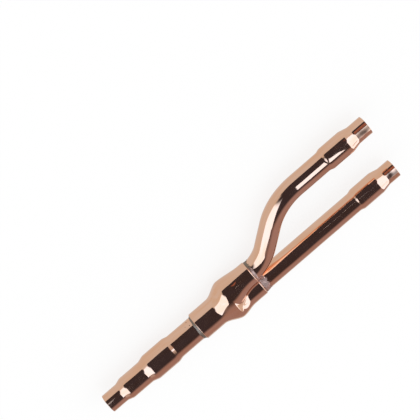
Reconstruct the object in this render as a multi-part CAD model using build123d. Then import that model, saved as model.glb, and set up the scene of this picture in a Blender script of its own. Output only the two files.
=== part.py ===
from build123d import *
from math import atan2, copysign, cos, pi, radians, sin, sqrt, tan
import os

# Refrigerant branch joint: one copper tube in, two copper tubes out.
# It lies flat. The origin is the centre of the inlet's open end, +X runs towards the
# outlets, +Y towards the branch, and z = 0 holds the axes of all the tubes.
# Lengths are in millimetres, angles in degrees.

# Copper tubes that the joint takes, by outside diameter: 1/2, 5/8 and 3/4 inch
SMALL_OD = 12.7
MIDDLE_OD = 15.88
LARGE_OD = 19.05

# Drawn tubes
TUBE_WALL = 1.0
SOCKET_ROOM = 0.1
CORNER_ROUNDING = 6.0
EDGE_BREAK = 0.25

# Inlet tube: lengths from its open end inwards, then how far it reaches to the collar's
# lip and how deep it sits in the collar
INLET_SMALL_LENGTH = 13.0
INLET_FIRST_CONE = 4.8
INLET_MIDDLE_LENGTH = 18.2
INLET_SECOND_CONE = 5.0
INLET_LARGE_LENGTH = 19.0
INLET_NECK_CONE = 3.8
INLET_REACH = 86.0
INLET_SEAT = 12.0

# Body: round collar, flare to an oval shoulder, neck, and mouth like a figure eight. The
# neck narrows to each outlet over a length of its own, and so does the valley between.
COLLAR_WALL = 1.6
COLLAR_ROOM = 0.2
COLLAR_LENGTH = 16.5
COLLAR_LIP_ROUNDING = 0.5
FLARE_LENGTH = 14.5
SHOULDER_SPREAD = 6.2
SHOULDER_RADIUS = 12.4
SHOULDER_ARC = 70.0
BRANCH_NECK_LENGTH = 19.0
STRAIGHT_NECK_LENGTH = 12.0
VALLEY_LENGTH = 12.0
MOUTH_LENGTH = 5.0
MOUTH_WALL = 1.3
MOUTH_ROOM = 0.2
MOUTH_RIM_ROUNDING = 0.9
VALLEY_RADIUS = 2.5
FLARE_STEPS = 8
NECK_STEPS = 12

# Outlet tubes: gap between them in the mouth, how deep they sit and how far they reach
OUTLET_GAP = 0.32
OUTLET_SEAT = 8.0
OUTLET_REACH = 129.0

# Stepped ends of the outlet tubes: lengths from the open end inwards
STRAIGHT_SMALL_LENGTH = 10.0
STRAIGHT_SMALL_CONE = 6.8
STRAIGHT_MIDDLE_LENGTH = 18.3
STRAIGHT_WIDENING = 3.0
BRANCH_SMALL_LENGTH = 11.8
BRANCH_SMALL_CONE = 6.6
BRANCH_MIDDLE_LENGTH = 17.0
BRANCH_WIDENING = 3.4
STEPPED_END_LEAD = 4.0

# Route of the branch tube
BRANCH_SPACING = 55.0
BRANCH_ANGLE = 48.0
ROOT_BEND_BACKSET = 0.5
ROOT_BEND_RADIUS = 24.0
LEG_BEND_RADIUS = 42.0

# Brazing alloy
INLET_FILLET_LENGTH = 2.0
INLET_FILLET_HEIGHT = 1.2
INLET_FILLET_ARC = 9.0
OUTLET_FILLET_LENGTH = 4.5
OUTLET_FILLET_HEIGHT = 0.5
OUTLET_FILLET_ARC = 35.0
CROTCH_LENGTH = 5.0
CROTCH_WIDTH = 4.4
CROTCH_HEIGHT = 9.0

# Radii that follow from the sizes above
small_radius = (SMALL_OD + SOCKET_ROOM) / 2 + TUBE_WALL
middle_radius = (MIDDLE_OD + SOCKET_ROOM) / 2 + TUBE_WALL
large_radius = (LARGE_OD + SOCKET_ROOM) / 2 + TUBE_WALL
inlet_radius = LARGE_OD / 2
outlet_radius = MIDDLE_OD / 2
collar_bore = inlet_radius + COLLAR_ROOM / 2
collar_radius = collar_bore + COLLAR_WALL
lobe_bore = outlet_radius + MOUTH_ROOM / 2
lobe_radius = lobe_bore + MOUTH_WALL
lobe_y = outlet_radius + OUTLET_GAP / 2

# Places along X that follow from the sizes above
lip_x = INLET_REACH
flare_x = lip_x + COLLAR_LENGTH
shoulder_x = flare_x + FLARE_LENGTH
mouth_x = shoulder_x + max(BRANCH_NECK_LENGTH, STRAIGHT_NECK_LENGTH, VALLEY_LENGTH)
face_x = mouth_x + MOUTH_LENGTH
outlet_start_x = face_x - OUTLET_SEAT
outlet_end_x = face_x + OUTLET_REACH
branch_steps = BRANCH_SMALL_LENGTH + BRANCH_SMALL_CONE + BRANCH_MIDDLE_LENGTH + BRANCH_WIDENING
stepped_end_x = outlet_end_x - branch_steps - STEPPED_END_LEAD
branch_y = BRANCH_SPACING - lobe_y


def stepped_tube(stations, joined=False):
    """
    A tube of even wall about the X axis, from its (x, outer radius) stations. Its cut
    ends lose their sharp edges, except that a joined tube keeps its first end square.
    """
    first_x, last_x = stations[0][0], stations[-1][0]
    inside = [(x, radius - TUBE_WALL) for x, radius in reversed(stations)]
    section = make_face(Polyline(*stations, *inside, close=True))
    bends = [v for v in section.vertices() if first_x + 0.01 < v.X < last_x - 0.01]
    section = fillet(bends, CORNER_ROUNDING)
    corners = section.vertices().group_by(Axis.X)
    cut_corners = corners[-1] if joined else corners[0] + corners[-1]
    return revolve(fillet(cut_corners, EDGE_BREAK), axis=Axis.X)


def make_inlet_tube():
    """Three sockets, one behind the other, then plain tube into the collar."""
    x = 0.0
    stations = [(x, small_radius)]
    steps = (
        (INLET_SMALL_LENGTH, small_radius),
        (INLET_FIRST_CONE, middle_radius),
        (INLET_MIDDLE_LENGTH, middle_radius),
        (INLET_SECOND_CONE, large_radius),
        (INLET_LARGE_LENGTH, large_radius),
        (INLET_NECK_CONE, inlet_radius),
    )
    for length, radius in steps:
        x += length
        stations.append((x, radius))
    stations.append((lip_x + INLET_SEAT, inlet_radius))
    return stepped_tube(stations)


def outlet_stations(start_x, widening, middle_length, small_cone, small_length):
    """Plain tube, widened for the middle size and drawn in again for the small one."""
    cone_x = outlet_end_x - small_length
    middle_end_x = cone_x - small_cone
    middle_start_x = middle_end_x - middle_length
    return [
        (start_x, outlet_radius),
        (middle_start_x - widening, outlet_radius),
        (middle_start_x, middle_radius),
        (middle_end_x, middle_radius),
        (cone_x, small_radius),
        (outlet_end_x, small_radius),
    ]


def make_straight_outlet_tube():
    stations = outlet_stations(
        outlet_start_x,
        STRAIGHT_WIDENING,
        STRAIGHT_MIDDLE_LENGTH,
        STRAIGHT_SMALL_CONE,
        STRAIGHT_SMALL_LENGTH,
    )
    return Pos(0, -lobe_y, 0) * stepped_tube(stations)


def branch_route():
    """The bent length of the branch tube's axis, from inside the mouth outwards."""
    root_x = face_x - ROOT_BEND_BACKSET + ROOT_BEND_RADIUS * tan(radians(BRANCH_ANGLE / 2))
    leg_x = root_x + (branch_y - lobe_y) / tan(radians(BRANCH_ANGLE))
    return FilletPolyline(
        (outlet_start_x, lobe_y),
        (root_x, lobe_y),
        (leg_x, branch_y),
        (stepped_end_x, branch_y),
        radius=[ROOT_BEND_RADIUS, LEG_BEND_RADIUS],
    )


def along_branch(radius):
    """A round bar along the bent length of the branch tube."""
    start = Plane(origin=(outlet_start_x, lobe_y, 0), z_dir=(1, 0, 0))
    return sweep(start * Circle(radius), path=branch_route())


def make_branch_outlet_tube():
    bent = along_branch(outlet_radius) - along_branch(outlet_radius - TUBE_WALL)
    stations = outlet_stations(
        stepped_end_x,
        BRANCH_WIDENING,
        BRANCH_MIDDLE_LENGTH,
        BRANCH_SMALL_CONE,
        BRANCH_SMALL_LENGTH,
    )
    return bent + Pos(0, branch_y, 0) * stepped_tube(stations, joined=True)


def body_section(x, branch_lobe, straight_lobe, bridge, middle, branch_end, straight_end):
    """
    Closed outline across the body. Each lobe is a circle, given by how far its centre
    stands aside and by its radius, the branch's at +Y. Above and below, an arc round the
    middle bridges the two. It leaves them at the end angles and is a valley, or a crown
    where its radius is negative.
    """
    branch_aside, branch_radius = branch_lobe
    straight_aside, straight_radius = straight_lobe
    middle_y, middle_z = middle
    bridge_angle = (branch_end + straight_end) / 2
    outer_angle = (pi + straight_end) / 2

    def on_branch(angle):
        return (x, branch_aside + branch_radius * cos(angle), branch_radius * sin(angle))

    def on_straight(angle):
        return (x, straight_radius * cos(angle) - straight_aside, straight_radius * sin(angle))

    def on_bridge(side):
        top_z = middle_z - bridge * sin(bridge_angle)
        return (x, middle_y - bridge * cos(bridge_angle), side * top_z)

    return Wire(
        [
            ThreePointArc(on_branch(0), on_branch(branch_end / 2), on_branch(branch_end)),
            ThreePointArc(on_branch(branch_end), on_bridge(1), on_straight(straight_end)),
            ThreePointArc(on_straight(straight_end), on_straight(outer_angle), on_straight(pi)),
            ThreePointArc(on_straight(pi), on_straight(-outer_angle), on_straight(-straight_end)),
            ThreePointArc(on_straight(-straight_end), on_bridge(-1), on_branch(-branch_end)),
            ThreePointArc(on_branch(-branch_end), on_branch(-branch_end / 2), on_branch(0)),
        ]
    )


def crowned_section(x, spread, radius):
    """Two like lobes under a crown that leaves them at the shoulder's arc."""
    turn = radians(SHOULDER_ARC)
    crown = radius + spread / cos(turn)
    lobe = (spread, radius)
    return body_section(x, lobe, lobe, -crown, (0, -spread * tan(turn)), turn, pi - turn)


def bridged_section(x, branch_lobe, straight_lobe, bridge):
    """Two lobes that differ, with the tangent bridge of the given radius."""
    branch_aside, straight_aside = branch_lobe[0], straight_lobe[0]
    branch_reach, straight_reach = branch_lobe[1] + bridge, straight_lobe[1] + bridge
    middle_y = straight_reach**2 - branch_reach**2 - straight_aside**2 + branch_aside**2
    middle_y /= 2 * (branch_aside + straight_aside)
    middle_z = copysign(sqrt(branch_reach**2 - (middle_y - branch_aside) ** 2), bridge)
    branch_end = atan2(middle_z / branch_reach, (middle_y - branch_aside) / branch_reach)
    straight_end = atan2(middle_z / straight_reach, (middle_y + straight_aside) / straight_reach)
    middle = (middle_y, middle_z)
    return body_section(x, branch_lobe, straight_lobe, bridge, middle, branch_end, straight_end)


def between(first, last, share):
    """Ease from first, in share 0, to last, in share 1 and beyond, level at both ends."""
    share = min(1, share)
    return first + (last - first) * share * share * (3 - 2 * share)


def flare_section(share, collar_inset, shoulder_inset):
    """Across the flare, from the round collar to the oval shoulder."""
    spread = between(0, SHOULDER_SPREAD, share)
    collar = collar_radius - collar_inset
    radius = between(collar, SHOULDER_RADIUS - shoulder_inset, share)
    return crowned_section(flare_x + FLARE_LENGTH * share, spread, radius)


def neck_section(run, shoulder_inset, mouth_inset):
    """Across the neck, at a distance from the shoulder."""
    lobes = []
    for length in (BRANCH_NECK_LENGTH, STRAIGHT_NECK_LENGTH):
        spread = between(SHOULDER_SPREAD, lobe_y, run / length)
        shoulder = SHOULDER_RADIUS - shoulder_inset
        lobes.append((spread, between(shoulder, lobe_radius - mouth_inset, run / length)))
    crown = SHOULDER_RADIUS + SHOULDER_SPREAD / cos(radians(SHOULDER_ARC))
    bend = between(-1 / crown, 1 / VALLEY_RADIUS, run / VALLEY_LENGTH)
    inset = between(shoulder_inset, mouth_inset, run / VALLEY_LENGTH)
    return bridged_section(shoulder_x + run, *lobes, 1 / bend + inset)


def body_loft(collar_inset, mouth_inset):
    """The body's flare and neck, inset by one wall at the collar and one at the mouth."""
    shoulder_inset = (collar_inset + mouth_inset) / 2
    sections = []
    for step in range(FLARE_STEPS):
        sections.append(flare_section(step / FLARE_STEPS, collar_inset, shoulder_inset))
    for step in range(NECK_STEPS + 1):
        run = (mouth_x - shoulder_x) * step / NECK_STEPS
        sections.append(neck_section(run, shoulder_inset, mouth_inset))
    return Solid.make_loft(sections)


def mouth_bar(radius):
    """The mouth's figure eight as a solid bar, with lobes of the given radius."""
    lobe = (lobe_y, radius)
    bridge = VALLEY_RADIUS + lobe_radius - radius
    outline = Face(bridged_section(mouth_x, lobe, lobe, bridge))
    return extrude(outline, amount=MOUTH_LENGTH, dir=(1, 0, 0))


def make_y_body():
    lip_corners = [(lip_x, collar_bore), (lip_x, collar_radius)]
    far_corners = [(flare_x, collar_radius), (flare_x, collar_bore)]
    section = make_face(Polyline(*lip_corners, *far_corners, close=True))
    outer_corner = section.vertices().group_by(Axis.X)[0].sort_by(Axis.Y)[-1]
    collar = revolve(fillet(outer_corner, COLLAR_LIP_ROUNDING), axis=Axis.X)
    neck = body_loft(0, 0) - body_loft(COLLAR_WALL, MOUTH_WALL)
    mouth = mouth_bar(lobe_radius)
    rim = mouth.faces().sort_by(Axis.X)[-1].edges()
    mouth = fillet(rim, MOUTH_RIM_ROUNDING) - mouth_bar(lobe_bore)
    return collar + neck + mouth


def make_inlet_braze():
    """A film in the collar and a hollow fillet at its lip."""
    tip = (lip_x - INLET_FILLET_LENGTH, inlet_radius)
    crest = (lip_x, inlet_radius + INLET_FILLET_HEIGHT)
    film_end_x = lip_x + INLET_SEAT
    outline = [
        Line(tip, (film_end_x, inlet_radius)),
        Line((film_end_x, inlet_radius), (film_end_x, collar_bore)),
        Line((film_end_x, collar_bore), (lip_x, collar_bore)),
        Line((lip_x, collar_bore), crest),
        RadiusArc(crest, tip, -INLET_FILLET_ARC),
    ]
    return revolve(make_face(outline), axis=Axis.X)


def fillet_ring(y):
    """The hollow fillet round one outlet tube, as a solid of revolution."""
    tip = (face_x + OUTLET_FILLET_LENGTH, outlet_radius)
    crest = (face_x, outlet_radius + OUTLET_FILLET_HEIGHT)
    outline = [
        Line((face_x, 0), (face_x + OUTLET_FILLET_LENGTH, 0)),
        Line((face_x + OUTLET_FILLET_LENGTH, 0), tip),
        RadiusArc(tip, crest, OUTLET_FILLET_ARC),
        Line(crest, (face_x, 0)),
    ]
    return Pos(0, y, 0) * revolve(make_face(outline), axis=Axis.X)


def make_outlet_braze():
    """The filling of the mouth, a fillet round each tube and the saddle between them."""
    saddle = Pos(face_x + CROTCH_LENGTH / 2, 0, 0) * Box(CROTCH_LENGTH, CROTCH_WIDTH, CROTCH_HEIGHT)
    alloy = mouth_bar(lobe_bore) + fillet_ring(lobe_y) + fillet_ring(-lobe_y) + saddle
    reach = face_x + 2 * CROTCH_LENGTH - outlet_start_x
    straight_bar = Pos(outlet_start_x, -lobe_y, 0) * extrude(
        Plane.YZ * Circle(outlet_radius), amount=reach
    )
    return alloy - straight_bar - along_branch(outlet_radius)


pieces = {
    "inlet_tube": make_inlet_tube(),
    "y_body": make_y_body(),
    "straight_outlet_tube": make_straight_outlet_tube(),
    "branch_outlet_tube": make_branch_outlet_tube(),
    "inlet_braze": make_inlet_braze(),
    "outlet_braze": make_outlet_braze(),
}

os.makedirs("parts", exist_ok=True)
for name, piece in pieces.items():
    export_step(piece, f"parts/{name}.step")
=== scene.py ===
# Looks of a copper refrigerant branch joint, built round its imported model.
# Sizes are in millimetres and angles in degrees, and MM turns them into Blender's metres.
# The joint lies flat with +X from its inlet to its outlets, as in its solid model.
from math import atan2, ceil, copysign, cos, degrees, pi, radians, sin, sqrt, tan

import bmesh
import bpy
from mathutils import Matrix, Vector, noise


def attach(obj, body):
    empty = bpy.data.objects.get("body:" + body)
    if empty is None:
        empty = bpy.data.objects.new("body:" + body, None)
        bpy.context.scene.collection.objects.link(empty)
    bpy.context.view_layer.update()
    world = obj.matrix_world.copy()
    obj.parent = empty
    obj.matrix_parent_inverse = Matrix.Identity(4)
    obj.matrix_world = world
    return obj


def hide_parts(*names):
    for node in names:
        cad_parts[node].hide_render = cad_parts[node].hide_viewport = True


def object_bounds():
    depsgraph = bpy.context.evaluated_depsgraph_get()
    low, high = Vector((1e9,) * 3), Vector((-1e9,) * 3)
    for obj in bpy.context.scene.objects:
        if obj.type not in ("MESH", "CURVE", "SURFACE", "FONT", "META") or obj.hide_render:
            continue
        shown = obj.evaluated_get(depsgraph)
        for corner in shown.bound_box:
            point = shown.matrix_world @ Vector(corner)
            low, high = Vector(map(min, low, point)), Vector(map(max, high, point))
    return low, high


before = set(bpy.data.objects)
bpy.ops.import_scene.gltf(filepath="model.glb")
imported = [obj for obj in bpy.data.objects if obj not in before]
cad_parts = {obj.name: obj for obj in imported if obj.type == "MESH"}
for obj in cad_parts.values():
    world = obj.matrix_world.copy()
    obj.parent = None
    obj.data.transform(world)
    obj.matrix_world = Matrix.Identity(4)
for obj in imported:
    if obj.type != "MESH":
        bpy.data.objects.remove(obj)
cad_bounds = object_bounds()

MM = 0.001

# Copper tubes that the joint takes, by outside diameter
SMALL_OD = 12.7
MIDDLE_OD = 15.88
LARGE_OD = 19.05

# Drawn tubes
TUBE_WALL = 1.0
SOCKET_ROOM = 0.1
CORNER_ROUNDING = 6.0
EDGE_BREAK = 0.25

# Inlet tube, from its open end inwards
INLET_SMALL_LENGTH = 13.0
INLET_FIRST_CONE = 4.8
INLET_MIDDLE_LENGTH = 18.2
INLET_SECOND_CONE = 5.0
INLET_LARGE_LENGTH = 19.0
INLET_NECK_CONE = 3.8
INLET_REACH = 86.0
INLET_SEAT = 12.0

# Body
COLLAR_WALL = 1.6
COLLAR_ROOM = 0.2
COLLAR_LENGTH = 16.5
COLLAR_LIP_ROUNDING = 0.5
FLARE_LENGTH = 14.5
SHOULDER_SPREAD = 6.2
SHOULDER_RADIUS = 12.4
SHOULDER_ARC = 70.0
BRANCH_NECK_LENGTH = 19.0
STRAIGHT_NECK_LENGTH = 12.0
VALLEY_LENGTH = 12.0
MOUTH_LENGTH = 5.0
MOUTH_WALL = 1.3
MOUTH_ROOM = 0.2
MOUTH_RIM_ROUNDING = 0.9
VALLEY_RADIUS = 2.5

# Outlet tubes, whose widenings are a little steeper than those of the solids
OUTLET_GAP = 0.32
OUTLET_SEAT = 8.0
OUTLET_REACH = 129.0
STRAIGHT_SMALL_LENGTH = 10.0
STRAIGHT_SMALL_CONE = 6.8
STRAIGHT_MIDDLE_LENGTH = 18.4
STRAIGHT_WIDENING = 2.85
BRANCH_SMALL_LENGTH = 11.8
BRANCH_SMALL_CONE = 6.6
BRANCH_MIDDLE_LENGTH = 18.4
BRANCH_WIDENING = 2.85

# Route of the branch tube, which leaves the mouth on a longer arc than its solid does
BRANCH_SPACING = 55.0
BRANCH_ANGLE = 48.0
ROOT_BEND_BACKSET = 3.0
ROOT_BEND_RADIUS = 29.6
LEG_BEND_RADIUS = 42.0

# Brazing alloy: how high its fillets stand at the joint, and how far they run out along
# the tubes, at least and at most, with the angle round the tube where they run furthest
INLET_FILLET_HEIGHT = 0.9
INLET_RUN_OUT = (0.6, 2.2)
INLET_RUN_OUT_ANGLE = 85.0
OUTLET_FILLET_HEIGHT = 0.8
STRAIGHT_RUN_OUT = (2.0, 6.5)
STRAIGHT_RUN_OUT_ANGLE = 70.0
BRANCH_RUN_OUT = (1.8, 6.0)
BRANCH_RUN_OUT_ANGLE = -30.0
CROTCH_LENGTH = 5.0
CROTCH_WIDTH = 4.4
CROTCH_HEIGHT = 9.0
RUN_OUT_UNEVENNESS = 0.25
RUN_OUT_WAVES = 2.0
FILLET_HOLLOWNESS = 1.3
BRAZE_ROOT = 0.35
BRAZE_FEATHER = 0.06
BRAZE_VOXEL = 0.25
BRAZE_SOFTENING = 0.5
BRAZE_SOFTENING_ROUNDS = 25

# Unevenness of the hand-finished metal: the height and the size of its waves, and the
# share of that height by which they sink, so that the metal stays inside its true size
TUBE_WAVES = ((0.03, 5.0), (0.08, 18.0))
BODY_WAVES = ((0.05, 6.0), (0.10, 18.0))
BRAZE_WAVES = ((0.02, 1.6), (0.10, 4.0))
WAVE_SINK = 0.6

# Finishes. A pattern is noise: the size of its waves, how fine its detail is, and how it
# is stretched along X, Y and Z. A range says which part of it makes the difference.
UNSTRETCHED = (1, 1, 1)

# Copper: two tones in streaks, drawing lines, a haze that dulls the polish, and dings
COPPER_TONES = ((0.955, 0.605, 0.43), (0.935, 0.54, 0.34))
STREAK_PATTERN = (4.0, 3, (8, 1, 1))
STREAK_RANGE = (0.35, 0.7)
LINE_PATTERN = (0.35, 4, (40, 1, 1))
LINE_DEPTH = 0.0002
HAZE_PATTERN = (6.0, 5, UNSTRETCHED)
HAZE_RANGE = (0.3, 0.8)
COPPER_ROUGHNESS = (0.04, 0.10)
DING_DENSITY = 90.0
DING_EDGE = (0.01, 0.03)
DING_DEPTH = 0.006

# Brazing alloy: two tones and two degrees of polish in patches, and a fine grain
BRAZE_TONES = ((0.55, 0.35, 0.27), (0.78, 0.48, 0.37))
PATCH_PATTERN = (3.5, 4, UNSTRETCHED)
PATCH_RANGE = (0.4, 0.6)
BRAZE_ROUGHNESS = (0.5, 0.38)
GRAIN_PATTERN = (0.6, 4, UNSTRETCHED)
GRAIN_DEPTH = 0.003

# Specks of burnt flux on the inlet tube beside the collar, and the places where the alloy
# is greyest: the middle of each and how far it reaches, fading from SPOT_CORE of that
FLUX_SPECKS = (((81.6, 9.1, -2.7), 0.5), ((82.3, 9.3, 1.8), 0.45), ((79.0, 9.5, 0.6), 0.3))
FLUX_COLOUR = (0.16, 0.09, 0.06)
GREY_PATCHES = (((145, 16, -1), 6.0), ((142, 1, 8), 2.5), ((86, 0, 0), 15.0))
GREY_COLOUR = (0.28, 0.22, 0.17)
SPOT_CORE = 0.7

# How finely the surfaces are divided
TUBE_SIDES = 144
LOBE_SIDES = 96
VALLEY_SIDES = 24
FILLET_ROWS = 14
ROUNDING_STEPS = 6
ARC_STEP = 12.0
ARC_STEPS_AT_LEAST = 4
STATION_STEP = 1.2
LOFT_STEP = 0.5
GUARD = 0.06

# The camera's place, from the photograph. It stands on the branch tube's side and aims at
# a point given by how far it lies along the X axis and aside from it in the picture. The
# frame is FRAME_WIDTH wide at that point.
CAMERA_ELEVATION = 44.0
CAMERA_ROLL = 40.71
CAMERA_DISTANCE = 1000.0
FRAME_WIDTH = 305.3
AIM_ALONG = 147.9
AIM_BESIDE = -58.6
SENSOR_WIDTH = 36.0

# The studio, which only the metal sees. Radiances are linear, and 1 is white. Two level
# softboxes are given by their corners in x and y. Each brightens where the sum of x and y,
# by their two weights, goes from the first end to the second, and where it climbs from the
# horizon between two angles. The pale card and the brown card are given by their corners.
WHITE = (1, 1, 1)
SOFTBOX_HEIGHT = 500.0
LEFT_SOFTBOX = ((-98, -110), (-98, 650), (-2500, 7000), (-6000, 7000), (-6000, -110))
LEFT_SOFTBOX_FADE = ((1.15, 1.0), (560.0, 110.0))
RIGHT_SOFTBOX = (
    (310, -200),
    (310, 400),
    (3500, 3750),
    (6000, 3750),
    (6000, -220),
    (520, -220),
    (780, -700),
    (820, -1200),
    (680, -1200),
)
RIGHT_SOFTBOX_FADE = ((1.0, 0.0), (316.0, 348.0))
HORIZON_FADE = (4.0, 18.0)
SOFTBOX_RADIANCE = (1.2, 1.5, 1.93)
BROWN_CARD = ((342, 530, 500), (377, 530, 500), (490, 1620, 500), (442, 1620, 500))
BROWN_CARD_RADIANCE = (0.32, 0.14, 0.10)
PALE_CARD = ((205, 46.5, 65.1), (252, 46.5, 65.1), (252, 217, 268), (205, 217, 268))

# The room behind the lights: a dim ceiling that turns into a paler far wall between two
# angles round the X axis, and glows that grow with how far a direction points along X
CEILING_RADIANCE = (0.042, 0.036, 0.045)
FAR_WALL_RADIANCE = (0.356, 0.263, 0.268)
FAR_WALL_TOP = (100.0, 128.0)
SIDE_GLOW_RADIANCE = (0.75, 0.75, 0.75)
SIDE_GLOW_SPREAD = (0.45, 0.75)
END_GLOW_RADIANCE = (0.6, 0.56, 0.56)
END_GLOW_SPREAD = (0.36, 0.44)
HORIZON_GLOW = 22.0
HORIZON_GLOW_SPREAD = (0.36, 0.46)

# The floor: how pale it is in the metal, and how much of its shading the camera sees
FLOOR_RADIANCE = (0.65, 0.65, 0.65)
FLOOR_SIZE = 30000.0
FLOOR_SHADOW = 0.2

# Radii and places that follow from the sizes above
small_radius = (SMALL_OD + SOCKET_ROOM) / 2 + TUBE_WALL
middle_radius = (MIDDLE_OD + SOCKET_ROOM) / 2 + TUBE_WALL
large_radius = (LARGE_OD + SOCKET_ROOM) / 2 + TUBE_WALL
inlet_radius = LARGE_OD / 2
outlet_radius = MIDDLE_OD / 2
collar_bore = inlet_radius + COLLAR_ROOM / 2
collar_radius = collar_bore + COLLAR_WALL
lobe_bore = outlet_radius + MOUTH_ROOM / 2
lobe_radius = lobe_bore + MOUTH_WALL
lobe_y = outlet_radius + OUTLET_GAP / 2
lip_x = INLET_REACH
flare_x = lip_x + COLLAR_LENGTH
shoulder_x = flare_x + FLARE_LENGTH
mouth_x = shoulder_x + max(BRANCH_NECK_LENGTH, STRAIGHT_NECK_LENGTH, VALLEY_LENGTH)
face_x = mouth_x + MOUTH_LENGTH
outlet_start_x = face_x - OUTLET_SEAT
outlet_end_x = face_x + OUTLET_REACH
branch_y = BRANCH_SPACING - lobe_y


def rounded_outline(corners):
    """
    The points of a closed outline, from its (x, radius, rounding) corners. Each corner
    becomes an arc, with a guard point beside it that keeps the shading of flat runs flat.
    """
    arcs = []
    for index, (x, radius, rounding) in enumerate(corners):
        here = Vector((x, radius))
        before = Vector(corners[index - 1][:2])
        after = Vector(corners[(index + 1) % len(corners)][:2])
        arrive = (here - before).normalized()
        leave = (after - here).normalized()
        turn = arrive.angle_signed(leave, 0)
        steps = max(ARC_STEPS_AT_LEAST, ceil(abs(degrees(turn)) / ARC_STEP))
        reach = rounding * tan(abs(turn) / 2)
        side = 1 if turn > 0 else -1
        centre = here - arrive * reach + side * rounding * Vector((arrive.y, -arrive.x))
        start = here - arrive * reach - centre
        arc = [centre + Matrix.Rotation(-turn * step / steps, 2) @ start for step in range(steps + 1)]
        arcs.append(arc)
    points = []
    for index, arc in enumerate(arcs):
        points.extend(arc)
        first, last = arc[-1], arcs[(index + 1) % len(arcs)][0]
        run = last - first
        if run.length > 3 * GUARD:
            steps = ceil(run.length / STATION_STEP)
            shares = [GUARD / run.length]
            shares += [step / steps for step in range(1, steps)]
            shares += [1 - GUARD / run.length]
            points.extend(first + run * share for share in shares)
    return points


def closed_skin(mesh, loops, straight_loops=None):
    """
    Adds to a bmesh a closed skin through loops of points, the last joined to the first.
    Each vertex also keeps its place in the straightened piece, for the finish.
    """
    unrolled = mesh.verts.layers.float_vector.get("unrolled")
    rows = []
    for loop, straight in zip(loops, straight_loops or loops):
        row = []
        for point, place in zip(loop, straight):
            vertex = mesh.verts.new(Vector(point) * MM)
            vertex[unrolled] = Vector(place) * MM
            row.append(vertex)
        rows.append(row)
    for index, row in enumerate(rows):
        before = rows[index - 1]
        for side in range(len(row)):
            mesh.faces.new((before[side - 1], before[side], row[side], row[side - 1]))


def wave(mesh, waves):
    """Moves each vertex of a bmesh along its normal by a little smooth noise."""
    unrolled = mesh.verts.layers.float_vector.get("unrolled")
    mesh.normal_update()
    for vertex in mesh.verts:
        place = vertex[unrolled] / MM
        height = sum(rise * (noise.noise(place / size) - WAVE_SINK) for rise, size in waves)
        vertex.co += vertex.normal * height * MM


def new_skin_mesh():
    """An empty bmesh whose vertices can keep their place in the straightened piece."""
    mesh = bmesh.new()
    mesh.verts.layers.float_vector.new("unrolled")
    return mesh


def new_object(name, data):
    """An object in the scene."""
    item = bpy.data.objects.new(name, data)
    bpy.context.scene.collection.objects.link(item)
    return item


def mesh_data(name, mesh):
    """Turns a bmesh into mesh data and frees it."""
    data = bpy.data.meshes.new(name)
    mesh.to_mesh(data)
    mesh.free()
    return data


def finish_piece(name, node, finish, mesh):
    """Makes a bmesh into a smooth piece that stands for a node of the solid model."""
    bmesh.ops.recalc_face_normals(mesh, faces=mesh.faces)
    data = mesh_data(name, mesh)
    data.shade_smooth()
    data.materials.append(finish)
    piece = new_object(name, data)
    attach(piece, "root")
    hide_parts(node)


def ring(x, radius):
    """Points round the X axis."""
    turns = [2 * pi * side / TUBE_SIDES for side in range(TUBE_SIDES)]
    return [(x, radius * cos(turn), radius * sin(turn)) for turn in turns]


def beside_axis(loop, shift):
    """A loop moved sideways, along Y."""
    return [(x, y + shift, z) for x, y, z in loop]


def make_tube(name, finish, stations, place_loop):
    """A tube from its (distance, outer radius) stations, each loop put in place."""
    last = len(stations) - 1
    outside = []
    inside = []
    for index, (distance, radius) in enumerate(stations):
        rounding = EDGE_BREAK if index in (0, last) else CORNER_ROUNDING
        outside.append((distance, radius, rounding))
        inside.append((distance, radius - TUBE_WALL, rounding))
    straight = [ring(*point) for point in rounded_outline(outside + inside[::-1])]
    mesh = new_skin_mesh()
    closed_skin(mesh, [place_loop(loop) for loop in straight], straight)
    bmesh.ops.recalc_face_normals(mesh, faces=mesh.faces)
    wave(mesh, TUBE_WAVES)
    finish_piece(name + "_skin", name, finish, mesh)


def make_inlet_tube(finish):
    """Three steps for three sizes of tube, and the neck that sits in the collar."""
    x = 0.0
    stations = [(x, small_radius)]
    steps = (
        (INLET_SMALL_LENGTH, small_radius),
        (INLET_FIRST_CONE, middle_radius),
        (INLET_MIDDLE_LENGTH, middle_radius),
        (INLET_SECOND_CONE, large_radius),
        (INLET_LARGE_LENGTH, large_radius),
        (INLET_NECK_CONE, inlet_radius),
    )
    for length, radius in steps:
        x += length
        stations.append((x, radius))
    stations.append((lip_x + INLET_SEAT, inlet_radius))
    make_tube("inlet_tube", finish, stations, lambda loop: loop)


def outlet_stations(start, end, widening, middle_length, small_cone, small_length):
    """Plain tube, widened for the middle size and drawn in again for the small one."""
    cone = end - small_length
    middle_end = cone - small_cone
    middle_start = middle_end - middle_length
    return [
        (start, outlet_radius),
        (middle_start - widening, outlet_radius),
        (middle_start, middle_radius),
        (middle_end, middle_radius),
        (cone, small_radius),
        (end, small_radius),
    ]


def make_straight_outlet_tube(finish):
    stations = outlet_stations(
        outlet_start_x,
        outlet_end_x,
        STRAIGHT_WIDENING,
        STRAIGHT_MIDDLE_LENGTH,
        STRAIGHT_SMALL_CONE,
        STRAIGHT_SMALL_LENGTH,
    )
    make_tube("straight_outlet_tube", finish, stations, lambda loop: beside_axis(loop, -lobe_y))


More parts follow.
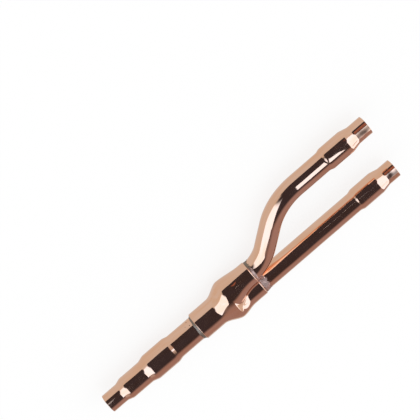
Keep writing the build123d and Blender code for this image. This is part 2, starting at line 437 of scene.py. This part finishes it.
def branch_runs():
    """The branch tube's axis as (length, turn) runs from its end in the mouth."""
    tilt = radians(BRANCH_ANGLE)
    root_reach = ROOT_BEND_RADIUS * tan(tilt / 2)
    leg_reach = LEG_BEND_RADIUS * tan(tilt / 2)
    root_x = face_x - ROOT_BEND_BACKSET + root_reach
    leg_x = root_x + (branch_y - lobe_y) / tan(tilt)
    slant = (branch_y - lobe_y) / sin(tilt) - root_reach - leg_reach
    return [
        (root_x - root_reach - outlet_start_x, 0),
        (ROOT_BEND_RADIUS * tilt, tilt),
        (slant, 0),
        (LEG_BEND_RADIUS * tilt, -tilt),
        (outlet_end_x - leg_x - leg_reach, 0),
    ]


def branch_place(distance):
    """The point at a distance along the branch tube's axis, and the axis's angle there."""
    place = Vector((outlet_start_x, lobe_y, 0))
    heading = 0
    for length, turn in branch_runs():
        share = min(1, distance / length)
        bend = turn * share
        chord = length * share
        if bend:
            chord *= sin(bend / 2) / (bend / 2)
        middle = heading + bend / 2
        place += chord * Vector((cos(middle), sin(middle), 0))
        heading += bend
        distance -= length * share
    return place, heading


def along_branch(loop):
    """A loop made round the X axis, moved to its place round the branch tube's axis."""
    place, heading = branch_place(loop[0][0])
    across = Vector((-sin(heading), cos(heading), 0))
    return [place + across * y + Vector((0, 0, z)) for _, y, z in loop]


def make_branch_outlet_tube(finish):
    length = sum(run for run, _ in branch_runs())
    stations = outlet_stations(
        0,
        length,
        BRANCH_WIDENING,
        BRANCH_MIDDLE_LENGTH,
        BRANCH_SMALL_CONE,
        BRANCH_SMALL_LENGTH,
    )
    make_tube("branch_outlet_tube", finish, stations, along_branch)


def body_loop(x, branch_lobe, straight_lobe, bridge, middle, branch_end, straight_end):
    """
    Points round the body. Each lobe is a circle, given by how far its centre stands aside
    and by its radius. Above and below, an arc round the middle bridges the two from end
    angle to end angle. It is a valley, or a crown where its radius is negative.
    """
    branch_aside, branch_radius = branch_lobe
    straight_aside, straight_radius = straight_lobe
    middle_y, middle_z = middle
    points = []
    for side in range(LOBE_SIDES):
        angle = branch_end * (2 * side / LOBE_SIDES - 1)
        points.append((branch_aside + branch_radius * cos(angle), branch_radius * sin(angle)))
    top = []
    for side in range(VALLEY_SIDES + 1):
        angle = branch_end + (straight_end - branch_end) * side / VALLEY_SIDES
        top.append((middle_y - bridge * cos(angle), middle_z - bridge * sin(angle)))
    points += top[:-1]
    for side in range(LOBE_SIDES):
        angle = straight_end + 2 * (pi - straight_end) * side / LOBE_SIDES
        points.append((straight_radius * cos(angle) - straight_aside, straight_radius * sin(angle)))
    points += [(y, -z) for y, z in top[:0:-1]]
    return [(x, y, z) for y, z in points]


def crowned_loop(x, spread, radius):
    """Two like lobes under a crown that leaves them at the shoulder's arc."""
    turn = radians(SHOULDER_ARC)
    crown = radius + spread / cos(turn)
    lobe = (spread, radius)
    return body_loop(x, lobe, lobe, -crown, (0, -spread * tan(turn)), turn, pi - turn)


def bridged_loop(x, branch_lobe, straight_lobe, bridge):
    """Two lobes that differ, with the tangent bridge of the given radius."""
    branch_aside, straight_aside = branch_lobe[0], straight_lobe[0]
    branch_reach, straight_reach = branch_lobe[1] + bridge, straight_lobe[1] + bridge
    middle_y = straight_reach**2 - branch_reach**2 - straight_aside**2 + branch_aside**2
    middle_y /= 2 * (branch_aside + straight_aside)
    middle_z = copysign(sqrt(branch_reach**2 - (middle_y - branch_aside) ** 2), bridge)
    branch_end = atan2(middle_z / branch_reach, (middle_y - branch_aside) / branch_reach)
    straight_end = atan2(middle_z / straight_reach, (middle_y + straight_aside) / straight_reach)
    middle = (middle_y, middle_z)
    return body_loop(x, branch_lobe, straight_lobe, bridge, middle, branch_end, straight_end)


def between(first, last, share):
    """Ease from first, in share 0 and before, to last, in share 1 and beyond."""
    share = min(1, max(0, share))
    return first + (last - first) * share * share * (3 - 2 * share)


def body_at(x, collar_inset, mouth_inset):
    """Points round the body at x, inset by its wall."""
    shoulder_inset = (collar_inset + mouth_inset) / 2
    if x <= shoulder_x:
        share = (x - flare_x) / FLARE_LENGTH
        collar = collar_radius - collar_inset
        radius = between(collar, SHOULDER_RADIUS - shoulder_inset, share)
        return crowned_loop(x, between(0, SHOULDER_SPREAD, share), radius)
    run = x - shoulder_x
    lobes = []
    for length in (BRANCH_NECK_LENGTH, STRAIGHT_NECK_LENGTH):
        spread = between(SHOULDER_SPREAD, lobe_y, run / length)
        shoulder = SHOULDER_RADIUS - shoulder_inset
        lobes.append((spread, between(shoulder, lobe_radius - mouth_inset, run / length)))
    crown = SHOULDER_RADIUS + SHOULDER_SPREAD / cos(radians(SHOULDER_ARC))
    bend = between(-1 / crown, 1 / VALLEY_RADIUS, run / VALLEY_LENGTH)
    inset = between(shoulder_inset, mouth_inset, run / VALLEY_LENGTH)
    return bridged_loop(x, *lobes, 1 / bend + inset)


def make_y_body(finish):
    """
    The body, whose skin runs along the outside from the lip to the mouth, round the rim
    and back inside. Each place is an x with the wall's inset at the collar and the mouth.
    """
    quarter = [radians(90) * step / ROUNDING_STEPS for step in range(ROUNDING_STEPS + 1)]
    places = []
    for turn in quarter:
        x = lip_x + COLLAR_LIP_ROUNDING * (1 - cos(turn))
        places.append((x, COLLAR_LIP_ROUNDING * (1 - sin(turn)), 0))
    first = lip_x + COLLAR_LIP_ROUNDING + GUARD
    last = face_x - MOUTH_RIM_ROUNDING - GUARD
    steps = ceil((last - first) / LOFT_STEP)
    places += [(first + (last - first) * step / steps, 0, 0) for step in range(steps + 1)]
    for turn in quarter:
        x = face_x - MOUTH_RIM_ROUNDING * (1 - sin(turn))
        places.append((x, 0, MOUTH_RIM_ROUNDING * (1 - cos(turn))))
    places.append((face_x, 0, MOUTH_RIM_ROUNDING + GUARD))
    places.append((face_x, COLLAR_WALL, MOUTH_WALL - GUARD))
    places.append((face_x, COLLAR_WALL, MOUTH_WALL))
    first, last = face_x - GUARD, lip_x + GUARD
    steps = ceil((first - last) / STATION_STEP)
    places += [
        (first + (last - first) * step / steps, COLLAR_WALL, MOUTH_WALL) for step in range(steps + 1)
    ]
    places.append((lip_x, COLLAR_WALL, MOUTH_WALL))
    places.append((lip_x, COLLAR_WALL - GUARD, MOUTH_WALL))
    places.append((lip_x, COLLAR_LIP_ROUNDING + GUARD, MOUTH_WALL))
    mesh = new_skin_mesh()
    closed_skin(mesh, [body_at(*place) for place in places])
    bmesh.ops.recalc_face_normals(mesh, faces=mesh.faces)
    wave(mesh, BODY_WAVES)
    finish_piece("y_body_skin", "y_body", finish, mesh)


def fillet_loops(face, side, film_end, tube_radius, socket_radius, height, run_outs, widest):
    """
    Loops of a ring of alloy round a tube on the X axis. It fills the joint from film_end
    to the face, stands height above the tube there, and feathers out along the tube to
    the given side. Its hidden faces lie inside the copper of the tube and the socket.
    """
    root = tube_radius - BRAZE_ROOT
    film = socket_radius + BRAZE_ROOT / 2
    least, most = run_outs
    loops = [ring(x, root) for x in (film_end, (film_end + face) / 2, face)]
    for row in range(FILLET_ROWS, -1, -1):
        share = row / FILLET_ROWS
        rise = (height + BRAZE_FEATHER) * (1 - share) ** FILLET_HOLLOWNESS
        radius = tube_radius - BRAZE_FEATHER + rise
        loop = []
        for _, y, z in ring(face, 1):
            turn = degrees(atan2(z, y)) - widest
            length = least + (most - least) * (1 + cos(radians(turn))) / 2
            spot = Vector((face, RUN_OUT_WAVES * y, RUN_OUT_WAVES * z))
            length *= 1 + RUN_OUT_UNEVENNESS * noise.noise(spot)
            loop.append((face + side * length * share, radius * y, radius * z))
        loops.append(loop)
    return loops + [ring(x, film) for x in (face, (film_end + face) / 2, film_end)]


def make_inlet_braze(finish):
    """The ring of alloy between the inlet tube and the collar."""
    mesh = new_skin_mesh()
    loops = fillet_loops(
        lip_x,
        -1,
        lip_x + INLET_SEAT,
        inlet_radius,
        collar_bore,
        INLET_FILLET_HEIGHT,
        INLET_RUN_OUT,
        INLET_RUN_OUT_ANGLE,
    )
    closed_skin(mesh, loops)
    finish_piece("inlet_braze_skin", "inlet_braze", finish, mesh)


def melt(mesh):
    """Joins the overlapping solids of a bmesh into one, as if they had run together."""
    data = mesh_data("melting", mesh)
    lump = new_object("melting", data)
    remesh = lump.modifiers.new("join", "REMESH")
    remesh.mode = "VOXEL"
    remesh.voxel_size = BRAZE_VOXEL * MM
    soften = lump.modifiers.new("soften", "SMOOTH")
    soften.factor = BRAZE_SOFTENING
    soften.iterations = BRAZE_SOFTENING_ROUNDS
    result = lump.evaluated_get(bpy.context.evaluated_depsgraph_get())
    melted = new_skin_mesh()
    melted.from_mesh(result.to_mesh())
    unrolled = melted.verts.layers.float_vector.get("unrolled")
    for vertex in melted.verts:
        vertex[unrolled] = vertex.co
    bpy.data.objects.remove(lump)
    bpy.data.meshes.remove(data)
    return melted


def make_outlet_braze(finish):
    """A ring round each outlet tube and the saddle between them, melted into one."""
    mesh = new_skin_mesh()
    straight = fillet_loops(
        face_x,
        1,
        outlet_start_x,
        outlet_radius,
        lobe_bore,
        OUTLET_FILLET_HEIGHT,
        STRAIGHT_RUN_OUT,
        STRAIGHT_RUN_OUT_ANGLE,
    )
    closed_skin(mesh, [beside_axis(loop, -lobe_y) for loop in straight])
    branch = fillet_loops(
        OUTLET_SEAT,
        1,
        0,
        outlet_radius,
        lobe_bore,
        OUTLET_FILLET_HEIGHT,
        BRANCH_RUN_OUT,
        BRANCH_RUN_OUT_ANGLE,
    )
    placed = []
    for loop in branch:
        moved = []
        for point in loop:
            moved += along_branch([point])
        placed.append(moved)
    closed_skin(mesh, placed)
    length = OUTLET_SEAT + CROTCH_LENGTH
    middle = Vector((face_x + CROTCH_LENGTH - length / 2, 0, 0)) * MM
    size = Matrix.Diagonal((length * MM, CROTCH_WIDTH * MM, CROTCH_HEIGHT * MM, 1))
    bmesh.ops.create_cube(mesh, size=1, matrix=Matrix.Translation(middle) @ size)
    melted = melt(mesh)
    wave(melted, BRAZE_WAVES)
    finish_piece("outlet_braze_skin", "outlet_braze", finish, melted)


def put(tree, kind, **settings):
    """Adds a node to a tree and sets its properties."""
    node = tree.nodes.new(kind)
    for name, value in settings.items():
        setattr(node, name, value)
    return node


def feed(tree, socket, value):
    """Sets an input to a number, a colour or another node's output."""
    if isinstance(value, bpy.types.NodeSocket):
        tree.links.new(value, socket)
    elif socket.type == "RGBA" and len(value) == 3:
        socket.default_value = (*value, 1)
    else:
        socket.default_value = value


def calculate(tree, operation, *values):
    """The output of a math node."""
    node = put(tree, "ShaderNodeMath", operation=operation)
    for socket, value in zip(node.inputs, values):
        feed(tree, socket, value)
    return node.outputs[0]


def ramp(tree, value, low, high, to_low=0, to_high=1):
    """Eases from to_low, at low, to to_high, at high."""
    node = put(tree, "ShaderNodeMapRange", interpolation_type="SMOOTHSTEP")
    for socket, number in zip(node.inputs, (value, low, high, to_low, to_high)):
        feed(tree, socket, number)
    return node.outputs[0]


def blend(tree, share, *colours):
    """Mixes two colours. The node has sockets for other kinds of values beside theirs."""
    node = put(tree, "ShaderNodeMix", data_type="RGBA")
    feed(tree, node.inputs["Factor"], share)
    for socket, colour in zip([socket for socket in node.inputs if socket.type == "RGBA"], colours):
        feed(tree, socket, colour)
    return next(socket for socket in node.outputs if socket.type == "RGBA")


def mix_shaders(tree, share, first, second):
    """A node that mixes the shaders of two nodes."""
    node = put(tree, "ShaderNodeMixShader")
    for socket, value in zip(node.inputs, (share, first.outputs[0], second.outputs[0])):
        feed(tree, socket, value)
    return node


def noise_at(tree, place, pattern):
    """Noise in one of the patterns that are given by size, detail and stretch."""
    size, detail, stretch = pattern
    mapping = put(tree, "ShaderNodeMapping")
    feed(tree, mapping.inputs["Vector"], place)
    feed(tree, mapping.inputs["Scale"], [1 / (size * MM * share) for share in stretch])
    node = put(tree, "ShaderNodeTexNoise")
    feed(tree, node.inputs["Vector"], mapping.outputs[0])
    feed(tree, node.inputs["Scale"], 1)
    feed(tree, node.inputs["Detail"], detail)
    return node.outputs["Fac"]


def bump(tree, height, depth, normal=None):
    """A bump of the given depth in millimetres."""
    node = put(tree, "ShaderNodeBump")
    feed(tree, node.inputs["Distance"], depth * MM)
    feed(tree, node.inputs["Height"], height)
    if normal:
        feed(tree, node.inputs["Normal"], normal)
    return node.outputs[0]


def new_material(name):
    """A material, with its tree, its shader and the place in the straightened piece."""
    material = bpy.data.materials.new(name)
    material.use_nodes = True
    tree = material.node_tree
    place = put(tree, "ShaderNodeAttribute", attribute_name="unrolled").outputs["Vector"]
    return material, tree, tree.nodes["Principled BSDF"], place


def spotted(tree, place, colour, spots, spot_colour):
    """Puts round spots of another colour on a colour."""
    for spot, reach in spots:
        away = put(tree, "ShaderNodeVectorMath", operation="DISTANCE")
        feed(tree, away.inputs[0], place)
        feed(tree, away.inputs[1], Vector(spot) * MM)
        near = ramp(tree, away.outputs["Value"], SPOT_CORE * reach * MM, reach * MM, 1, 0)
        colour = blend(tree, near, colour, spot_colour)
    return colour


def make_copper(name):
    """Bright copper: faint drawing lines, small dings, haze and a slight change of tone."""
    material, tree, shader, place = new_material(name)
    streaks = noise_at(tree, place, STREAK_PATTERN)
    colour = blend(tree, ramp(tree, streaks, *STREAK_RANGE), *COPPER_TONES)
    colour = spotted(tree, place, colour, FLUX_SPECKS, FLUX_COLOUR)
    feed(tree, shader.inputs["Base Color"], colour)
    shader.inputs["Metallic"].default_value = 1
    haze = noise_at(tree, place, HAZE_PATTERN)
    feed(tree, shader.inputs["Roughness"], ramp(tree, haze, *HAZE_RANGE, *COPPER_ROUGHNESS))
    dings = put(tree, "ShaderNodeTexVoronoi", feature="F1")
    feed(tree, dings.inputs["Vector"], place)
    feed(tree, dings.inputs["Scale"], DING_DENSITY)
    ding = ramp(tree, dings.outputs["Distance"], *DING_EDGE)
    lined = bump(tree, noise_at(tree, place, LINE_PATTERN), LINE_DEPTH)
    feed(tree, shader.inputs["Normal"], bump(tree, ding, DING_DEPTH, lined))
    return material


def make_braze(name):
    """Silver brazing alloy: dull grey, tinted by copper where it ran thin."""
    material, tree, shader, place = new_material(name)
    patches = noise_at(tree, place, PATCH_PATTERN)
    colour = blend(tree, ramp(tree, patches, *PATCH_RANGE), *BRAZE_TONES)
    colour = spotted(tree, place, colour, GREY_PATCHES, GREY_COLOUR)
    feed(tree, shader.inputs["Base Color"], colour)
    shader.inputs["Metallic"].default_value = 1
    feed(tree, shader.inputs["Roughness"], ramp(tree, patches, *PATCH_RANGE, *BRAZE_ROUGHNESS))
    grain = noise_at(tree, place, GRAIN_PATTERN)
    feed(tree, shader.inputs["Normal"], bump(tree, grain, GRAIN_DEPTH))
    return material


def empty_tree(owner):
    """The node tree of a new material or world, with nothing in it yet."""
    owner.use_nodes = True
    owner.node_tree.nodes.clear()
    return owner.node_tree


def glow(tree, colour):
    """A shader that gives off a colour."""
    node = put(tree, "ShaderNodeEmission")
    feed(tree, node.inputs["Color"], colour)
    return node


def make_floor():
    """A white floor that keeps a faint shadow and shows pale grey in the metal."""
    low = min(corner[2] for corner in cad_bounds)
    mesh = bmesh.new()
    bmesh.ops.create_grid(mesh, size=FLOOR_SIZE * MM / 2)
    data = mesh_data("floor", mesh)
    floor = new_object("floor", data)
    floor.location.z = low
    material = bpy.data.materials.new("floor")
    data.materials.append(material)
    tree = empty_tree(material)
    rays = put(tree, "ShaderNodeLightPath")
    paper = put(tree, "ShaderNodeBsdfDiffuse")
    feed(tree, paper.inputs["Color"], WHITE)
    bright = calculate(tree, "MULTIPLY", rays.outputs["Is Camera Ray"], 1 - FLOOR_SHADOW)
    seen = mix_shaders(tree, bright, paper, glow(tree, WHITE))
    mirrored = calculate(tree, "MAXIMUM", rays.outputs["Is Glossy Ray"], rays.outputs["Is Transmission Ray"])
    both = mix_shaders(tree, mirrored, seen, glow(tree, FLOOR_RADIANCE))
    output = put(tree, "ShaderNodeOutputMaterial")
    feed(tree, output.inputs["Surface"], both.outputs[0])


def soft_share(tree, fade):
    """How bright a level softbox is at a place, as it fades to one side and the horizon."""
    way = put(tree, "ShaderNodeSeparateXYZ")
    feed(tree, way.inputs[0], put(tree, "ShaderNodeTexCoord").outputs["Object"])
    x, y, z = way.outputs
    low = ramp(tree, calculate(tree, "ARCTAN2", z, y), *[radians(angle) for angle in HORIZON_FADE])
    (along, beside), ends = fade
    reach = calculate(tree, "MULTIPLY_ADD", x, along, calculate(tree, "MULTIPLY", y, beside))
    return calculate(tree, "MULTIPLY", low, ramp(tree, reach, *[end * MM for end in ends]))


def make_light(name, corners, radiance, fade=None):
    """A flat light that only the metal sees, and that fades if it is a softbox."""
    data = bpy.data.meshes.new(name)
    data.from_pydata([Vector(corner) * MM for corner in corners], [], [range(len(corners))])
    material = bpy.data.materials.new(name)
    data.materials.append(material)
    tree = empty_tree(material)
    share = soft_share(tree, fade) if fade else 1
    faded = mix_shaders(tree, share, put(tree, "ShaderNodeBsdfTransparent"), glow(tree, radiance))
    output = put(tree, "ShaderNodeOutputMaterial")
    feed(tree, output.inputs["Surface"], faded.outputs[0])
    light = new_object(name, data)
    light.visible_camera = False
    light.visible_diffuse = False
    light.visible_transmission = False
    light.visible_shadow = False


def make_world():
    """White to the camera and as a light, and a dim room where the metal mirrors it."""
    world = bpy.data.worlds.new("studio")
    bpy.context.scene.world = world
    tree = empty_tree(world)
    way = put(tree, "ShaderNodeSeparateXYZ")
    feed(tree, way.inputs[0], put(tree, "ShaderNodeTexCoord").outputs["Generated"])
    x, y, z = way.outputs
    climb = calculate(tree, "ARCTAN2", z, y)
    aside = calculate(tree, "ABSOLUTE", x)
    far = ramp(tree, climb, *[radians(angle) for angle in FAR_WALL_TOP])
    room = blend(tree, far, CEILING_RADIANCE, FAR_WALL_RADIANCE)
    room = blend(tree, ramp(tree, x, *END_GLOW_SPREAD), room, END_GLOW_RADIANCE)
    room = blend(tree, ramp(tree, aside, *SIDE_GLOW_SPREAD), room, SIDE_GLOW_RADIANCE)
    low = ramp(tree, climb, 0, radians(HORIZON_GLOW), 1, 0)
    beyond = ramp(tree, aside, *HORIZON_GLOW_SPREAD)
    room = blend(tree, calculate(tree, "MULTIPLY", low, beyond), room, FLOOR_RADIANCE)
    rays = put(tree, "ShaderNodeLightPath")
    shown = put(tree, "ShaderNodeBackground")
    feed(tree, shown.inputs["Color"], WHITE)
    mirrored = put(tree, "ShaderNodeBackground")
    feed(tree, mirrored.inputs["Color"], room)
    either = mix_shaders(tree, rays.outputs["Is Glossy Ray"], shown, mirrored)
    output = put(tree, "ShaderNodeOutputWorld")
    feed(tree, output.inputs["Surface"], either.outputs[0])


def make_camera():
    """Stands the camera where the photograph was taken from."""
    tilt, roll = radians(CAMERA_ELEVATION), radians(CAMERA_ROLL)
    along = Vector((1, 0, 0))
    back = Vector((0, cos(tilt), sin(tilt)))
    beside = along.cross(back)
    right = sin(roll) * beside + cos(roll) * along
    up = sin(roll) * along - cos(roll) * beside
    aim = AIM_ALONG * along + AIM_BESIDE * beside
    lens = bpy.data.cameras.new("camera")
    lens.sensor_width = SENSOR_WIDTH
    lens.lens = SENSOR_WIDTH * CAMERA_DISTANCE / FRAME_WIDTH
    camera = new_object("camera", lens)
    turned = Matrix((right, up, back)).transposed().to_4x4()
    camera.matrix_world = Matrix.Translation((aim + back * CAMERA_DISTANCE) * MM) @ turned
    bpy.context.scene.camera = camera


make_camera()
make_world()
make_floor()
for name, outline, fade in (
    ("left_softbox", LEFT_SOFTBOX, LEFT_SOFTBOX_FADE),
    ("right_softbox", RIGHT_SOFTBOX, RIGHT_SOFTBOX_FADE),
):
    make_light(name, [(*place, SOFTBOX_HEIGHT) for place in outline], SOFTBOX_RADIANCE, fade)
make_light("card", PALE_CARD, SOFTBOX_RADIANCE)
make_light("brown_card", BROWN_CARD, BROWN_CARD_RADIANCE)

drawn_copper = make_copper("drawn_copper")
formed_copper = make_copper("formed_copper")
brazing_alloy = make_braze("brazing_alloy")
make_inlet_tube(drawn_copper)
make_straight_outlet_tube(drawn_copper)
make_branch_outlet_tube(drawn_copper)
make_y_body(formed_copper)
make_inlet_braze(brazing_alloy)
make_outlet_braze(brazing_alloy)

bpy.context.scene.view_settings.view_transform = "Standard"
